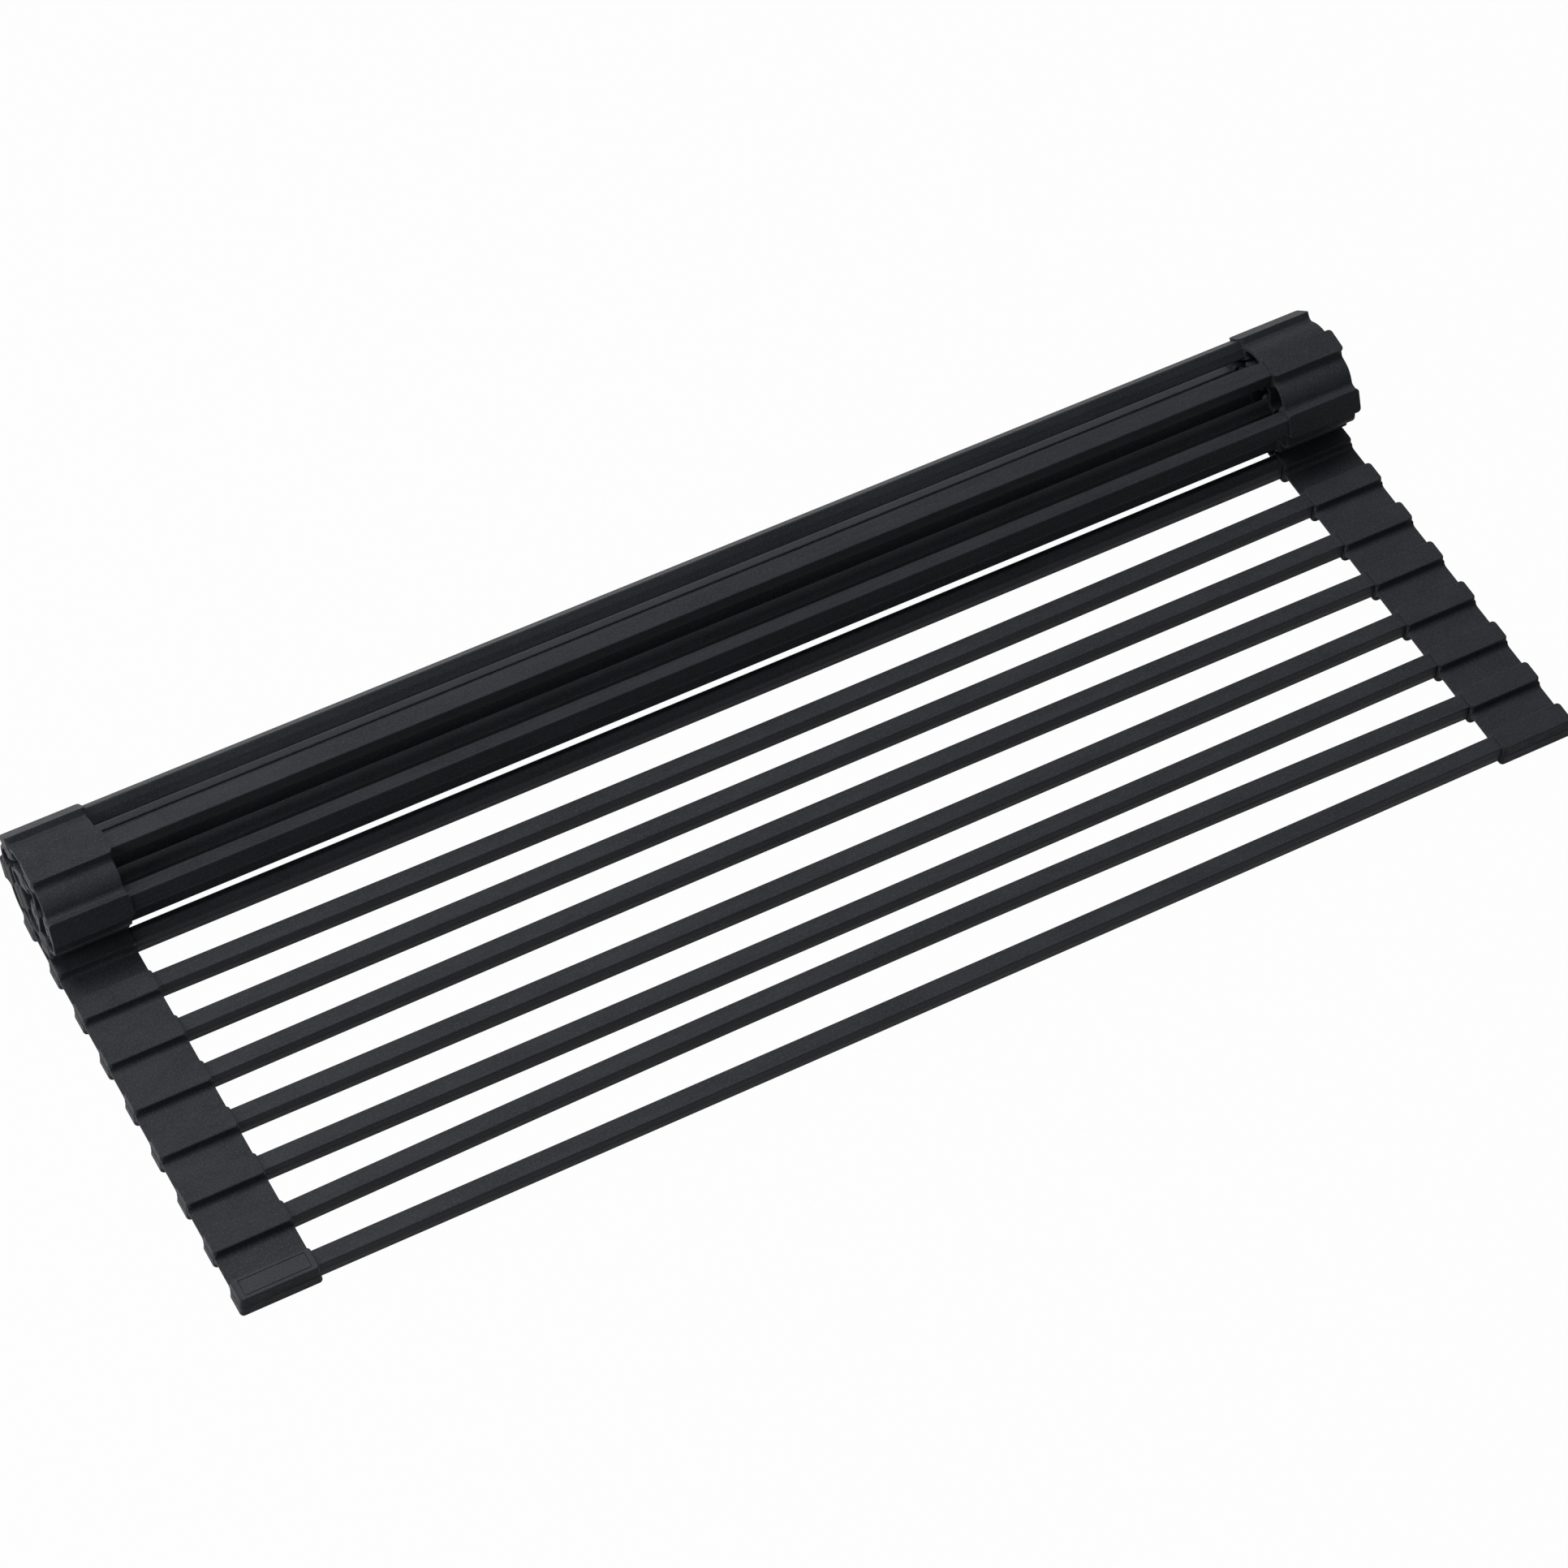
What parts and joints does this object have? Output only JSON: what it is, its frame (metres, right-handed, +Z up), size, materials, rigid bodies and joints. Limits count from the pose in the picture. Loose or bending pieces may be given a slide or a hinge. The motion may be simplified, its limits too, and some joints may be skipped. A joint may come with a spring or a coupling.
{
  "type": "roll up dish drying rack",
  "caption": "Mat of square silicone coated rods in flexible end strips, its back rolled up over itself. It opens flat to drain dishes over a sink and rolls up for storage.",
  "frame": {"origin": "on the ground, under the middle of the object's box", "axes": "+X along the rods to the right, +Y from the flat front towards the roll, +Z up"},
  "size_m": [0.52, 0.1964, 0.0471],
  "materials": {
    "rod_coat": "satin, fine lines along the rod",
    "strip_silicone": "matt"
  },
  "bodies": {
    "row_01": {"rod_01": "rod_coat", "left_link_01": "strip_silicone", "right_link_01": "strip_silicone"},
    "row_02": {"rod_02": "rod_coat", "left_link_02": "strip_silicone", "right_link_02": "strip_silicone"},
    "row_03": {"rod_03": "rod_coat", "left_link_03": "strip_silicone", "right_link_03": "strip_silicone"},
    "row_04": {"rod_04": "rod_coat", "left_link_04": "strip_silicone", "right_link_04": "strip_silicone"},
    "row_05": {"rod_05": "rod_coat", "left_link_05": "strip_silicone", "right_link_05": "strip_silicone"},
    "row_06": {"rod_06": "rod_coat", "left_link_06": "strip_silicone", "right_link_06": "strip_silicone"},
    "row_07": {"rod_07": "rod_coat", "left_link_07": "strip_silicone", "right_link_07": "strip_silicone"},
    "row_08": {"rod_08": "rod_coat", "left_link_08": "strip_silicone", "right_link_08": "strip_silicone"},
    "row_09": {"rod_09": "rod_coat", "left_link_09": "strip_silicone", "right_link_09": "strip_silicone"},
    "row_10": {"rod_10": "rod_coat", "left_link_10": "strip_silicone", "right_link_10": "strip_silicone"},
    "row_11": {"rod_11": "rod_coat", "left_link_11": "strip_silicone", "right_link_11": "strip_silicone"},
    "row_12": {"rod_12": "rod_coat", "left_link_12": "strip_silicone", "right_link_12": "strip_silicone"},
    "row_13": {"rod_13": "rod_coat", "left_link_13": "strip_silicone", "right_link_13": "strip_silicone"},
    "row_14": {"rod_14": "rod_coat", "left_link_14": "strip_silicone", "right_link_14": "strip_silicone"},
    "row_15": {"rod_15": "rod_coat", "left_link_15": "strip_silicone", "right_link_15": "strip_silicone"},
    "row_16": {"rod_16": "rod_coat", "left_link_16": "strip_silicone", "right_link_16": "strip_silicone"},
    "row_17": {"rod_17": "rod_coat", "left_link_17": "strip_silicone", "right_link_17": "strip_silicone"}
  },
  "joints": [
    {"name": "roll_web_08_09", "type": "hinge", "parent": "row_08", "child": "row_09", "pos_m": [0, 0.06582, 0.00555], "axis": [-1, 0, 0], "range_deg": [0, 9]},
    {"name": "roll_web_09_10", "type": "hinge", "parent": "row_09", "child": "row_10", "pos_m": [0, 0.08676, 0.00887], "axis": [-1, 0, 0], "range_deg": [0, 57]},
    {"name": "roll_web_10_11", "type": "hinge", "parent": "row_10", "child": "row_11", "pos_m": [0, 0.09538, 0.02823], "axis": [-1, 0, 0], "range_deg": [0, 72]},
    {"name": "roll_web_11_12", "type": "hinge", "parent": "row_11", "child": "row_12", "pos_m": [0, 0.07963, 0.04242], "axis": [-1, 0, 0], "range_deg": [0, 50]},
    {"name": "roll_web_12_13", "type": "hinge", "parent": "row_12", "child": "row_13", "pos_m": [0, 0.05864, 0.03947], "axis": [-1, 0, 0], "range_deg": [0, 63]},
    {"name": "roll_web_13_14", "type": "hinge", "parent": "row_13", "child": "row_14", "pos_m": [0, 0.05173, 0.01942], "axis": [-1, 0, 0], "range_deg": [0, 88]},
    {"name": "roll_web_14_15", "type": "hinge", "parent": "row_14", "child": "row_15", "pos_m": [0, 0.07153, 0.01183], "axis": [-1, 0, 0], "range_deg": [0, 67]},
    {"name": "roll_web_15_16", "type": "hinge", "parent": "row_15", "child": "row_16", "pos_m": [0, 0.08625, 0.02708], "axis": [-1, 0, 0], "range_deg": [0, 112]},
    {"name": "roll_web_16_17", "type": "hinge", "parent": "row_16", "child": "row_17", "pos_m": [0, 0.0666, 0.03502], "axis": [-1, 0, 0], "range_deg": [0, 116]},
    {"name": "front_web_07_08", "type": "hinge", "parent": "row_08", "child": "row_07", "pos_m": [0, 0.04462, 0.00555], "axis": [-1, 0, 0], "range_deg": [0, 63]},
    {"name": "front_web_06_07", "type": "hinge", "parent": "row_07", "child": "row_06", "pos_m": [0, 0.02342, 0.00555], "axis": [-1, 0, 0], "range_deg": [0, 47]},
    {"name": "front_web_05_06", "type": "hinge", "parent": "row_06", "child": "row_05", "pos_m": [0, 0.00222, 0.00555], "axis": [-1, 0, 0], "range_deg": [0, 37]},
    {"name": "front_web_04_05", "type": "hinge", "parent": "row_05", "child": "row_04", "pos_m": [0, -0.01898, 0.00555], "axis": [-1, 0, 0], "range_deg": [0, 37]},
    {"name": "front_web_03_04", "type": "hinge", "parent": "row_04", "child": "row_03", "pos_m": [0, -0.04018, 0.00555], "axis": [-1, 0, 0], "range_deg": [0, 25]},
    {"name": "front_web_02_03", "type": "hinge", "parent": "row_03", "child": "row_02", "pos_m": [0, -0.06138, 0.00555], "axis": [-1, 0, 0], "range_deg": [0, 41]},
    {"name": "front_web_01_02", "type": "hinge", "parent": "row_02", "child": "row_01", "pos_m": [0, -0.08258, 0.00555], "axis": [-1, 0, 0], "range_deg": [0, 47]}
  ],
  "couplings": [
    {"joint": "roll_web_08_09", "follows": "roll_web_09_10", "ratio": 0.15789},
    {"joint": "roll_web_10_11", "follows": "roll_web_09_10", "ratio": 1.2632},
    {"joint": "roll_web_11_12", "follows": "roll_web_09_10", "ratio": 0.87719},
    {"joint": "roll_web_12_13", "follows": "roll_web_09_10", "ratio": 1.1053},
    {"joint": "roll_web_13_14", "follows": "roll_web_09_10", "ratio": 1.5439},
    {"joint": "roll_web_14_15", "follows": "roll_web_09_10", "ratio": 1.1754},
    {"joint": "roll_web_15_16", "follows": "roll_web_09_10", "ratio": 1.9649},
    {"joint": "roll_web_16_17", "follows": "roll_web_09_10", "ratio": 2.0351},
    {"joint": "front_web_06_07", "follows": "front_web_07_08", "ratio": 0.74603},
    {"joint": "front_web_05_06", "follows": "front_web_07_08", "ratio": 0.5873},
    {"joint": "front_web_04_05", "follows": "front_web_07_08", "ratio": 0.5873},
    {"joint": "front_web_03_04", "follows": "front_web_07_08", "ratio": 0.39683},
    {"joint": "front_web_02_03", "follows": "front_web_07_08", "ratio": 0.65079},
    {"joint": "front_web_01_02", "follows": "front_web_07_08", "ratio": 0.74603}
  ]
}
